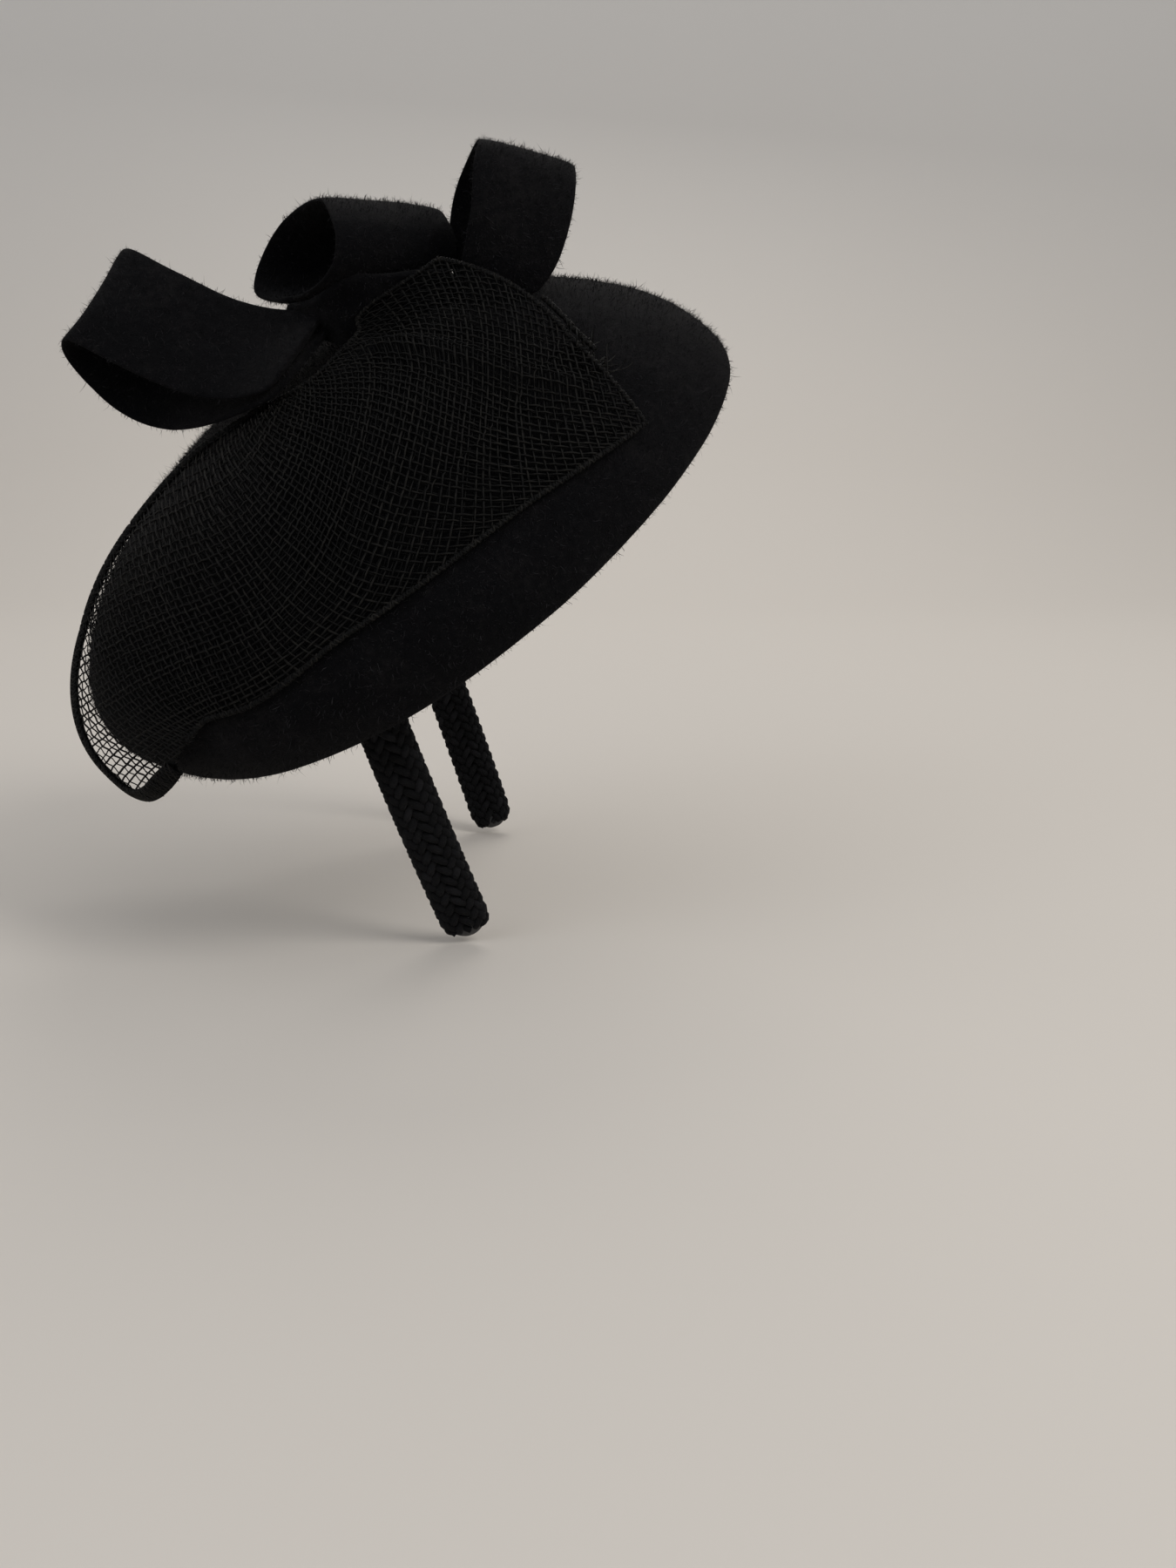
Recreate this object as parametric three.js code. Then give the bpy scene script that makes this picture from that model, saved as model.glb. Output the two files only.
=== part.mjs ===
// Felt cocktail hat on a braided headband, with three felt loops and a sinamay drape.
// Millimetres. +X is the wearer's front, +Y the wearer's left, +Z up as worn.
// The origin is the head seat: the inner face of the headband at the top of its arch.
import * as THREE from "three";

// Fit between pieces
const GAP = 0.35;

// Where the crown's rim centre sits from the head seat, and how the hat is tipped on the head
const RIM_AHEAD = 36;
const RIM_TO_RIGHT = 14.5;
const RIM_BELOW = 34.1;
const HAT_PITCH = 33.5;
const HAT_ROLL = 22.5;

// Felt crown: egg-shaped plan, blocked dome, soft rim
const CROWN_HALF_LENGTH = 89;
const CROWN_HALF_WIDTH = 79;
const CROWN_HEIGHT = 53;
const CROWN_FRONT_TAPER = 0.11;
const CROWN_SHOULDER = 2.3;
const CROWN_ROUNDNESS = 2.1;
const CROWN_BULGE = 0.035;
const CROWN_BULGE_REACH = 1.6;
const CROWN_BACK_LEAN = 9;
const FELT_WALL = 2.5;
const RIM_SOFT_EDGE = 0.7;
const CROWN_BEARINGS = 60;
const CROWN_RINGS = 14;

// Headband: a sprung arch covered in braid, with a smooth tip at each end
const BAND_LEAN = 20;
const BAND_HALF_SPAN = 67;
const BAND_ARCH = 78;
const BAND_HEIGHT = 134.8;
const BAND_TUCK = 8;
const BAND_WIDTH = 12.6;
const BAND_THICK = 5.2;
const BAND_SQUARENESS = 0.75;
const BAND_ARCH_STEPS = 40;
const BAND_ARM_STEPS = 11;
const BAND_SIDES = 12;
const TIP_LENGTH = 6;
const TIP_STEPS = 5;

// Felt strip of the loops
const STRIP_THICK = 2.2;
const STRIP_SOFT_EDGE = 0.6;
const STRIP_STEPS = 36;

// Each loop is a row per section of its strip, from one end at the knot, round the turn, to the other end.
// along, across and up are the middle of the strip from the rim centre, in the hat's own tipped frame;
// turn and dip give the way its width lies, and wide is the width there.
const REAR_LOOP = [
  { along: 1.9, across: -7.4, up: 61.6, turn: -135, dip: -4, wide: 31 },
  { along: -8.4, across: -3.5, up: 65.2, turn: -135, dip: -6, wide: 31 },
  { along: -17.2, across: 0.6, up: 73, turn: -135, dip: -8, wide: 31 },
  { along: -25.8, across: 5.8, up: 85.6, turn: -135, dip: -9, wide: 31 },
  { along: -32.3, across: 11.6, up: 94.8, turn: -135, dip: -9, wide: 31 },
  { along: -36.4, across: 16.9, up: 90.2, turn: -135, dip: -9, wide: 31 },
  { along: -34.6, across: 15.6, up: 74, turn: -135, dip: -8, wide: 31 },
  { along: -27.9, across: 9.7, up: 64.9, turn: -135, dip: -6, wide: 31 },
  { along: -18.1, across: 2.6, up: 60.9, turn: -135, dip: -4, wide: 31 },
  { along: -8.5, across: -2.7, up: 59.5, turn: -135, dip: -2, wide: 31 },
  { along: 1.6, across: -6.9, up: 58.7, turn: -135, dip: -1, wide: 31 },
];
const MIDDLE_LOOP = [
  { along: 15.8, across: 10.6, up: 60.3, turn: 21, dip: -36, wide: 29 },
  { along: 20.5, across: 3.6, up: 61, turn: 21, dip: -37, wide: 29 },
  { along: 26, across: -1.5, up: 62, turn: 20, dip: -38, wide: 30 },
  { along: 31.6, across: -4.2, up: 64.4, turn: 19, dip: -39, wide: 31 },
  { along: 35.2, across: -2.5, up: 68.5, turn: 20, dip: -39, wide: 31 },
  { along: 36.2, across: 4.3, up: 71.7, turn: 20, dip: -40, wide: 31 },
  { along: 35.5, across: 13.5, up: 73, turn: 19, dip: -41, wide: 31 },
  { along: 29.3, across: 23.9, up: 72, turn: 19, dip: -40, wide: 31 },
  { along: 21.2, across: 31.4, up: 69.3, turn: 19, dip: -40, wide: 31 },
  { along: 12.5, across: 32.7, up: 64.6, turn: 18, dip: -39, wide: 31 },
  { along: 8.2, across: 27.5, up: 62, turn: 19, dip: -37, wide: 30 },
  { along: 11.2, across: 18.2, up: 60.7, turn: 21, dip: -36, wide: 29 },
  { along: 15, across: 11.9, up: 60.3, turn: 21, dip: -36, wide: 29 },
];
const FRONT_LOOP = [
  { along: 47, across: -11.7, up: 45.4, turn: 0, dip: -25, wide: 20 },
  { along: 53, across: -11.4, up: 50, turn: 5, dip: -39, wide: 23 },
  { along: 62.3, across: -8.2, up: 57.3, turn: 20, dip: -41, wide: 27 },
  { along: 68.6, across: -1.5, up: 63, turn: 26, dip: -45, wide: 29 },
  { along: 71.8, across: 8.7, up: 64.1, turn: 32, dip: -47, wide: 29 },
  { along: 68.6, across: 16.9, up: 60.4, turn: 31, dip: -47, wide: 29 },
  { along: 60, across: 18.2, up: 54.4, turn: 27, dip: -45, wide: 28 },
  { along: 52.7, across: 8.4, up: 49.1, turn: 15, dip: -40, wide: 24 },
  { along: 48.6, across: -4.8, up: 45.8, turn: 0, dip: -26, wide: 20 },
];

// Sinamay drape: a row per rib of the cloth, from the front corner round the right side to the rear curl.
// Each rib runs from the lower edge, over a middle, to the gathered or hemmed upper edge.
// Bearing is degrees from the front about the crown's axis (right is minus), climb is degrees from rim to top,
// and lift is how far the cloth stands off the felt.
const CLOTH_THICK = 0.9;
const HEM_EXTRA = 0.9;
const HEM_SHARE = 0.08;
const DRAPE_RIB_STEPS = 60;
const DRAPE_ACROSS_STEPS = 14;
const DRAPE_RIBS = [
  { low: [-43, 15.3, 1.2], middle: [-31.5, 41.3, 6], high: [-17, 65, 13] },
  { low: [-54, 19.6, 0.9], middle: [-48, 45.4, 5.5], high: [-25, 71, 9] },
  { low: [-63.5, 22.9, 0.6], middle: [-59, 49.2, 5.5], high: [-33, 76, 6.4] },
  { low: [-72, 24.5, 0.4], middle: [-68, 50.4, 5.5], high: [-40, 78, 5.3] },
  { low: [-81.5, 25.3, 0.4], middle: [-77.5, 50.4, 5], high: [-50, 78.5, 5.2] },
  { low: [-91, 25.7, 0.4], middle: [-87, 51.2, 3.5], high: [-64, 79, 4.8] },
  { low: [-99.5, 25.8, 0.4], middle: [-95.5, 53.5, 2], high: [-84, 80, 3.6] },
  { low: [-109, 23.9, 0.4], middle: [-105.5, 52.5, 4], high: [-106, 81, 3] },
  { low: [-116.5, 22.9, 0.4], middle: [-116.5, 53.9, 6], high: [-130, 81.5, 2.6] },
  { low: [-121.5, 23.4, 0.4], middle: [-133, 53.2, 5.5], high: [-150, 79, 3] },
  { low: [-124, 23.7, 0.4], middle: [-144.5, 48.1, 4.5], high: [-166, 71, 4.5] },
  { low: [-125.3, 23.6, 0.4], middle: [-148, 40.5, 4], high: [-172, 54, 4.6] },
  { low: [-126, 23.3, 0.4], middle: [-145, 32.5, 3.5], high: [-168, 38, 4.6] },
  { low: [-126.7, 23, 0.5], middle: [-141.5, 26, 3.5], high: [-160.5, 26, 5.6] },
  { low: [-127.4, 22.4, 0.7], middle: [-138.5, 20.6, 4.5], high: [-153.5, 16.4, 6.8] },
  { low: [-128.3, 21.7, 1.2], middle: [-135.5, 17.3, 6], high: [-146, 12.4, 8.2] },
  { low: [-130, 20.5, 2], middle: [-131.5, 18.5, 4.5], high: [-133, 16.2, 7] },
];

const FELT_BLACK = new THREE.MeshStandardMaterial({ color: 0x16151a, roughness: 0.95 });
const BRAID_BLACK = new THREE.MeshStandardMaterial({ color: 0x1b1a1d, roughness: 0.8 });
const SINAMAY_BLACK = new THREE.MeshStandardMaterial({ color: 0x242320, roughness: 0.7 });
const TIP_GREY = new THREE.MeshStandardMaterial({ color: 0x3a3a3c, roughness: 0.45 });

const degrees = (angle) => (angle * Math.PI) / 180;

// Shapes from rings of points

// A closed body from rings of equal length, capped at each end by a fan round the ring's middle.
function bodyFromRings(rings) {
  const sides = rings[0].length;
  const points = rings.flat();
  const faces = [];
  for (let r = 0; r + 1 < rings.length; r++) {
    for (let s = 0; s < sides; s++) {
      const here = r * sides + s;
      const beside = r * sides + ((s + 1) % sides);
      faces.push([here, beside, here + sides], [beside, beside + sides, here + sides]);
    }
  }
  const cap = (ringIndex, flip) => {
    const middle = new THREE.Vector3();
    rings[ringIndex].forEach((p) => middle.addScaledVector(p, 1 / sides));
    points.push(middle);
    const centre = points.length - 1;
    for (let s = 0; s < sides; s++) {
      const a = ringIndex * sides + s;
      const b = ringIndex * sides + ((s + 1) % sides);
      faces.push(flip ? [centre, b, a] : [centre, a, b]);
    }
  };
  cap(0, true);
  cap(rings.length - 1, false);
  return bodyFromFaces(points, faces);
}

// Faces are turned to point outwards if the body comes out inside out.
function bodyFromFaces(points, faces) {
  let volume = 0;
  const cross = new THREE.Vector3();
  for (const [a, b, c] of faces) {
    volume += cross.crossVectors(points[b], points[c]).dot(points[a]);
  }
  const index = faces.flatMap(([a, b, c]) => (volume < 0 ? [a, c, b] : [a, b, c]));
  const geometry = new THREE.BufferGeometry().setFromPoints(points);
  geometry.setIndex(index);
  geometry.computeVertexNormals();
  return geometry;
}

function namedMesh(name, geometry, material) {
  const mesh = new THREE.Mesh(geometry, material);
  mesh.name = name;
  return mesh;
}

// Crown surface

// Share of the plan's size left at a height share of 0 at the rim to 1 at the top.
function crownShare(height) {
  const dome = Math.pow(Math.max(1 - Math.pow(height, CROWN_SHOULDER), 0), 1 / CROWN_ROUNDNESS);
  return dome * (1 + CROWN_BULGE * Math.sin(Math.PI * Math.min(height * CROWN_BULGE_REACH, 1)));
}

function crownSkin(bearing, climb) {
  const around = degrees(bearing);
  const height = Math.sin(degrees(climb));
  const share = crownShare(height);
  return new THREE.Vector3(
    CROWN_HALF_LENGTH * Math.cos(around) * share - CROWN_BACK_LEAN * Math.sin(Math.PI * height),
    CROWN_HALF_WIDTH * Math.sin(around) * (1 - CROWN_FRONT_TAPER * Math.cos(around)) * share,
    CROWN_HEIGHT * height,
  );
}

// A point standing off the felt along its outward normal.
function crownPoint(bearing, climb, lift) {
  const step = 0.2;
  const low = Math.max(climb - step, 0);
  const high = Math.min(climb + step, 89.6);
  const side = crownSkin(bearing + step, Math.min(climb, 89.6)).sub(crownSkin(bearing - step, Math.min(climb, 89.6)));
  const rise = crownSkin(bearing, high).sub(crownSkin(bearing, low));
  const outward = side.cross(rise).normalize();
  return crownSkin(bearing, climb).addScaledVector(outward, lift);
}

function feltCrown() {
  const bearings = Array.from({ length: CROWN_BEARINGS }, (_, i) => (360 * i) / CROWN_BEARINGS);
  const ring = (climb, lift) => bearings.map((b) => crownPoint(b, climb, lift));
  const topClimb = 88.5;
  const climbs = Array.from({ length: CROWN_RINGS }, (_, i) => (topClimb * i) / (CROWN_RINGS - 1));
  const outer = climbs.map((c) => ring(c, 0));
  const inner = climbs.map((c) => ring(c, -FELT_WALL));
  const edge = outer[0].map((p, i) => {
    const middle = p.clone().lerp(inner[0][i], 0.5);
    middle.z = Math.min(p.z, inner[0][i].z) - RIM_SOFT_EDGE;
    return middle;
  });
  return bodyFromRings([...inner.reverse(), edge, ...outer]);
}

// Headband

// Middle line of the band in its own plane: out to the side, and down from the head seat.
function bandLine() {
  const line = [];
  const seat = -BAND_THICK / 2;
  for (let i = 0; i <= BAND_ARM_STEPS; i++) {
    const arm = 1 - i / BAND_ARM_STEPS;
    line.push([BAND_HALF_SPAN - BAND_TUCK * arm * arm, seat + BAND_ARCH + (BAND_HEIGHT - BAND_ARCH) * arm]);
  }
  for (let i = 1; i < BAND_ARCH_STEPS; i++) {
    const angle = Math.PI * (0.5 - i / BAND_ARCH_STEPS);
    line.push([BAND_HALF_SPAN * Math.sin(angle), seat + BAND_ARCH * (1 - Math.cos(angle))]);
  }
  for (let i = 0; i <= BAND_ARM_STEPS; i++) {
    const arm = i / BAND_ARM_STEPS;
    line.push([-BAND_HALF_SPAN + BAND_TUCK * arm * arm, seat + BAND_ARCH + (BAND_HEIGHT - BAND_ARCH) * arm]);
  }
  return line;
}

// One oval section of the band about a point of its line, with size 1 for the full section.
function bandSection(point, way, size, thickness) {
  const flat = (value) => Math.sign(value) * Math.pow(Math.abs(value), BAND_SQUARENESS);
  return Array.from({ length: BAND_SIDES }, (_, i) => {
    const angle = (2 * Math.PI * (i + 0.5)) / BAND_SIDES;
    const wide = (BAND_WIDTH / 2) * size * flat(Math.cos(angle));
    const thick = (BAND_THICK / 2) * thickness * flat(Math.sin(angle));
    return new THREE.Vector3(wide, point[0] - way[1] * thick, -(point[1] + way[0] * thick));
  });
}

function wayAt(line, i) {
  const before = line[Math.max(i - 1, 0)];
  const after = line[Math.min(i + 1, line.length - 1)];
  const length = Math.hypot(after[0] - before[0], after[1] - before[1]);
  return [(after[0] - before[0]) / length, (after[1] - before[1]) / length];
}

function headband() {
  const line = bandLine();
  return bodyFromRings(line.map((point, i) => bandSection(point, wayAt(line, i), 1, 1)));
}

// Smooth rounded end of the band, a gap past the last turn of the braid.
function bandTip(atStart) {
  const line = bandLine();
  const i = atStart ? 0 : line.length - 1;
  const way = wayAt(line, i);
  const onward = atStart ? -1 : 1;
  const rings = [];
  for (let s = 0; s <= TIP_STEPS; s++) {
    const past = GAP + (TIP_LENGTH - GAP) * Math.sin((Math.PI / 2) * (s / TIP_STEPS));
    const point = [line[i][0] + onward * way[0] * past, line[i][1] + onward * way[1] * past];
    const round = Math.sqrt(Math.max(1 - Math.pow(past / (TIP_LENGTH * 1.02), 2), 0.02));
    rings.push(bandSection(point, way, 0.93 * round, 0.62 * Math.sqrt(round)));
  }
  return bodyFromRings(rings);
}

// Felt loops

function feltStrip(rows) {
  const edge = (sign) =>
    new THREE.CatmullRomCurve3(
      rows.map((row) => {
        const turn = degrees(row.turn);
        const dip = degrees(row.dip);
        const way = new THREE.Vector3(Math.cos(turn) * Math.cos(dip), Math.sin(turn) * Math.cos(dip), Math.sin(dip));
        return new THREE.Vector3(row.along, row.across, row.up).addScaledVector(way, (sign * row.wide) / 2);
      }),
      false,
      "centripetal",
    );
  const first = edge(-1);
  const second = edge(1);
  const middleAt = (t) => first.getPoint(t).add(second.getPoint(t)).multiplyScalar(0.5);
  const rings = [];
  for (let i = 0; i <= STRIP_STEPS; i++) {
    const t = i / STRIP_STEPS;
    const a = first.getPoint(t);
    const b = second.getPoint(t);
    const way = b.clone().sub(a).normalize();
    const ahead = middleAt(Math.min(t + 0.01, 1)).sub(middleAt(Math.max(t - 0.01, 0)));
    const face = ahead.cross(way).normalize().multiplyScalar(STRIP_THICK / 2);
    const soft = way.clone().multiplyScalar(STRIP_SOFT_EDGE);
    rings.push([
      a.clone().add(soft).add(face),
      a.clone(),
      a.clone().add(soft).sub(face),
      b.clone().sub(soft).sub(face),
      b.clone(),
      b.clone().sub(soft).add(face),
    ]);
  }
  return bodyFromRings(rings);
}

// Sinamay drape

// Smooth curve through evenly spaced values.
function through(values, t) {
  const last = values.length - 1;
  const place = Math.min(Math.max(t * last, 0), last - 1e-9);
  const i = Math.floor(place);
  const f = place - i;
  const at = (n) => values[Math.min(Math.max(n, 0), last)];
  const [p0, p1, p2, p3] = [at(i - 1), at(i), at(i + 1), at(i + 2)];
  const slopeIn = (p2 - p0) / 2;
  const slopeOut = (p3 - p1) / 2;
  const rise = p2 - p1;
  return p1 + f * slopeIn + f * f * (3 * rise - 2 * slopeIn - slopeOut) + f * f * f * (slopeIn + slopeOut - 2 * rise);
}

// One of bearing, climb or lift at a share along the ribs and across a rib.
function drapeValue(column, along, across) {
  const [low, middle, high] = ["low", "middle", "high"].map((name) =>
    through(
      DRAPE_RIBS.map((rib) => rib[name][column]),
      along,
    ),
  );
  const bend = 2 * middle - (low + high) / 2;
  const rest = 1 - across;
  return rest * rest * low + 2 * rest * across * bend + across * across * high;
}

function sinamayDrape() {
  const inner = [];
  const outer = [];
  for (let i = 0; i <= DRAPE_RIB_STEPS; i++) {
    const along = i / DRAPE_RIB_STEPS;
    for (let j = 0; j <= DRAPE_ACROSS_STEPS; j++) {
      const across = j / DRAPE_ACROSS_STEPS;
      const toEdge = Math.min(across, 1 - across);
      const hem = toEdge < HEM_SHARE ? HEM_EXTRA * (1 - toEdge / HEM_SHARE) : 0;
      const [bearing, climb, lift] = [0, 1, 2].map((column) => drapeValue(column, along, across));
      const stand = Math.max(lift, GAP);
      inner.push(crownPoint(bearing, climb, stand));
      outer.push(crownPoint(bearing, climb, stand + CLOTH_THICK + hem));
    }
  }
  const row = DRAPE_ACROSS_STEPS + 1;
  const count = inner.length;
  const faces = [];
  const quad = (a, b, c, d) => faces.push([a, b, c], [a, c, d]);
  for (let i = 0; i < DRAPE_RIB_STEPS; i++) {
    for (let j = 0; j < DRAPE_ACROSS_STEPS; j++) {
      const p = i * row + j;
      quad(p, p + row, p + row + 1, p + 1);
      quad(count + p, count + p + 1, count + p + row + 1, count + p + row);
    }
    const low = i * row;
    const high = low + DRAPE_ACROSS_STEPS;
    quad(low, count + low, count + low + row, low + row);
    quad(high, high + row, count + high + row, count + high);
  }
  const end = DRAPE_RIB_STEPS * row;
  for (let j = 0; j < DRAPE_ACROSS_STEPS; j++) {
    quad(j, j + 1, count + j + 1, count + j);
    quad(end + j, count + end + j, count + end + j + 1, end + j + 1);
  }
  return bodyFromFaces([...inner, ...outer], faces);
}

// Put together

const hat = new THREE.Group();
hat.name = "hat";
hat.position.set(RIM_AHEAD, -RIM_TO_RIGHT, -RIM_BELOW);
hat.rotation.set(degrees(HAT_ROLL), -degrees(HAT_PITCH), 0, "YXZ");
hat.add(namedMesh("felt_crown", feltCrown(), FELT_BLACK));
hat.add(namedMesh("loop_rear", feltStrip(REAR_LOOP), FELT_BLACK));
hat.add(namedMesh("loop_middle", feltStrip(MIDDLE_LOOP), FELT_BLACK));
hat.add(namedMesh("loop_front", feltStrip(FRONT_LOOP), FELT_BLACK));
hat.add(namedMesh("sinamay_drape", sinamayDrape(), SINAMAY_BLACK));

const band = new THREE.Group();
band.name = "band";
band.rotation.set(0, -degrees(BAND_LEAN), 0);
band.add(namedMesh("headband", headband(), BRAID_BLACK));
band.add(namedMesh("band_tip_left", bandTip(true), TIP_GREY));
band.add(namedMesh("band_tip_right", bandTip(false), TIP_GREY));

const fascinator = new THREE.Group();
fascinator.name = "fascinator";
fascinator.add(hat, band);

export default fascinator;
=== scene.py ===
"""Felt cocktail hat on a braided headband, dressed over its CAD frame.

The felt is smooth and fuzzy, the sinamay is woven thread by thread, and the band is plaited strand by
strand. Pieces are in metres, with +X to the wearer's front, +Y to the left and +Z up. The named sizes are
in millimetres and degrees, unless a comment says otherwise.
"""

import math

import bpy
import numpy as np
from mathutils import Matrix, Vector


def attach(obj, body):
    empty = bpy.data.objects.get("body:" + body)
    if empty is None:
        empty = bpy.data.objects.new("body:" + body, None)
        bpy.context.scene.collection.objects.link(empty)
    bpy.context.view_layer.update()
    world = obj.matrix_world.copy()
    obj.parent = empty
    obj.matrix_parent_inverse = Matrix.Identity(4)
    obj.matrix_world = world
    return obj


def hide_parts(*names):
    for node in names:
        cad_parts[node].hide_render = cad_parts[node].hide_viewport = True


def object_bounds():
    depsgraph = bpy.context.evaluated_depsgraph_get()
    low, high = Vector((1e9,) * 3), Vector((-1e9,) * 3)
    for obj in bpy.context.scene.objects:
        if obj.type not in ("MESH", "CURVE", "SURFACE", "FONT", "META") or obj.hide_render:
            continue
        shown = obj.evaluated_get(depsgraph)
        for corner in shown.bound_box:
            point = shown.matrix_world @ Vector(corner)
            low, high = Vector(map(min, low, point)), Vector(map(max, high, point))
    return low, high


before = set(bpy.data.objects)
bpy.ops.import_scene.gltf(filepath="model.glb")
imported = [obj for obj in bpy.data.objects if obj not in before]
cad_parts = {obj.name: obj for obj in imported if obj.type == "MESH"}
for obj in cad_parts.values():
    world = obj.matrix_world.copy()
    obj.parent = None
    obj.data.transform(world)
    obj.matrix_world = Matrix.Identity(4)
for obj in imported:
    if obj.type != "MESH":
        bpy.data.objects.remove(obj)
cad_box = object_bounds()
MM = 0.001

# How the hat is tipped, and the block that its crown was shaped on
RIM_CENTRE = (36.0, -14.5, -34.1)
HAT_PITCH = 33.5
HAT_ROLL = 22.5
CROWN_HALF_LENGTH = 89.0
CROWN_HALF_WIDTH = 79.0
CROWN_HEIGHT = 53.0
CROWN_FRONT_TAPER = 0.11
CROWN_SHOULDER = 2.3
CROWN_ROUNDNESS = 2.1
CROWN_BULGE = 0.035
CROWN_BULGE_REACH = 1.6
CROWN_BACK_LEAN = 9.0
CROWN_TOP_CLIMB = 89.6

# Loose wool fibres: how many and how long, the share that are strays, and lengths as shares of the longest
CROWN_FIBRES = 56000
CROWN_FIBRE = 2.8
LOOP_FIBRES = 13500
LOOP_FIBRE = 2.3
KNOT_FIBRES = 2500
KNOT_FIBRE = 1.8
STRAY_SHARE = 0.22
STRAY_LEAST, STRAY_MORE = 0.4, 0.6
FIBRE_LEAST, FIBRE_MORE = 0.14, 0.34
FIBRE_OUT, FIBRE_LEAN, FIBRE_CURL = 0.75, 0.65, 0.45
FIBRE_HALF_WIDTH, FIBRE_WIDER = 0.04, 0.02
FIBRE_ROOT = 0.1

# Dent in the turn of the rear loop, in the hat's frame
DENT_MIDDLE = (-36.0, 16.0, 88.0)
DENT_TURN = -135.0
DENT_HALF_WIDTH = 15.5
DENT_WAY = (0.71, -0.45, -0.54)
DENT_DEPTH = 3.2
DENT_REACH = 11.0

# Gathered middle of the felt strip, stood on edge under the loops. A row per place along it, in the hat's
# frame: along, across, foot and top.
KNOT_ROWS = [
    (3.2, 8.9, 57.0, 67.2),
    (6.4, 4.7, 57.0, 67.5),
    (9.4, 0.3, 54.0, 67.8),
    (12.8, -3.4, 54.0, 68.4),
    (18.0, -5.0, 53.0, 68.8),
    (22.5, -6.2, 52.6, 68.0),
    (27.0, -6.6, 52.0, 65.0),
    (32.0, -7.0, 51.0, 62.0),
    (37.0, -7.5, 49.5, 59.5),
    (41.5, -8.5, 48.5, 57.0),
]
KNOT_THICK = 2.2
KNOT_SWAY = 0.5

# Headband, in its own plane
BAND_LEAN = 20.0
BAND_HALF_SPAN = 67.0
BAND_ARCH = 78.0
BAND_HEIGHT = 134.8
BAND_TUCK = 8.0
BAND_WIDTH = 12.6
BAND_THICK = 5.2
TIP_LENGTH = 6.0
STRANDS_EACH_WAY = 14
STRAND_LAY = 42.0
STRAND_HALF_WIDE = 0.86
STRAND_HALF_THICK = 0.66
STRAND_CLIMB = 0.6

# Sinamay: thread spacing and size
WARP_SPACING = 1.5
WEFT_SPACING = 1.25
THREAD_HALF_WIDE = 0.235
THREAD_HALF_THICK = 0.175
THREAD_CLIMB = 0.2
THREAD_STEP = 0.85
THREAD_WOBBLE = 0.11
SHORTEST_THREAD = 2.5
LEAST_LIFT = 0.35
CLOTH_MIDDLE = 0.55

# Fold across the front lobe of the cloth: a ridge and a hollow along its weft, and where they fade out
FOLD_RIDGE, FOLD_RIDGE_WEFT, FOLD_RIDGE_REACH = 1.9, 103.4, 1.7
FOLD_HOLLOW, FOLD_HOLLOW_WEFT, FOLD_HOLLOW_REACH = 1.0, 98.6, 2.2
FOLD_END, FOLD_FADE_ALONG = 0.30, 0.08
FOLD_START, FOLD_FADE_ACROSS = 0.2, 0.12

# The folded flap at the front swells past the ends of its ribs
FLAP_SWELL = 0.085
FLAP_PLACE = 0.1
FLAP_REACH = 0.06

# Half width of the rolled hem at shares along its upper edge
HEM_PLACES = (0.52, 0.60, 0.68, 0.76, 0.90, 1.0)
HEM_HALF_WIDTHS = (0.4, 0.6, 1.45, 1.8, 2.3, 2.2)

# Threads wound round the rolled edges, and frayed ends: a tuft, then strays by share along, across and length
WRAP_HALF_WIDE, WRAP_HALF_THICK, WRAP_STANDS_OFF = 0.25, 0.17, 0.08
TUFT_THREADS = 60
TUFT_LENGTH = 7.5
STRAY_THREADS = [(0.42, 0.0, 2.5), (0.43, 0.0, 3.5), (0.57, 0.99, 6.0), (0.0, 0.5, 3.0), (0.99, 0.9, 3.0)]
FRAYED_HALF_WIDE, FRAYED_HALF_THICK = 0.14, 0.11
FRAYED_POINTS = 10

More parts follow.
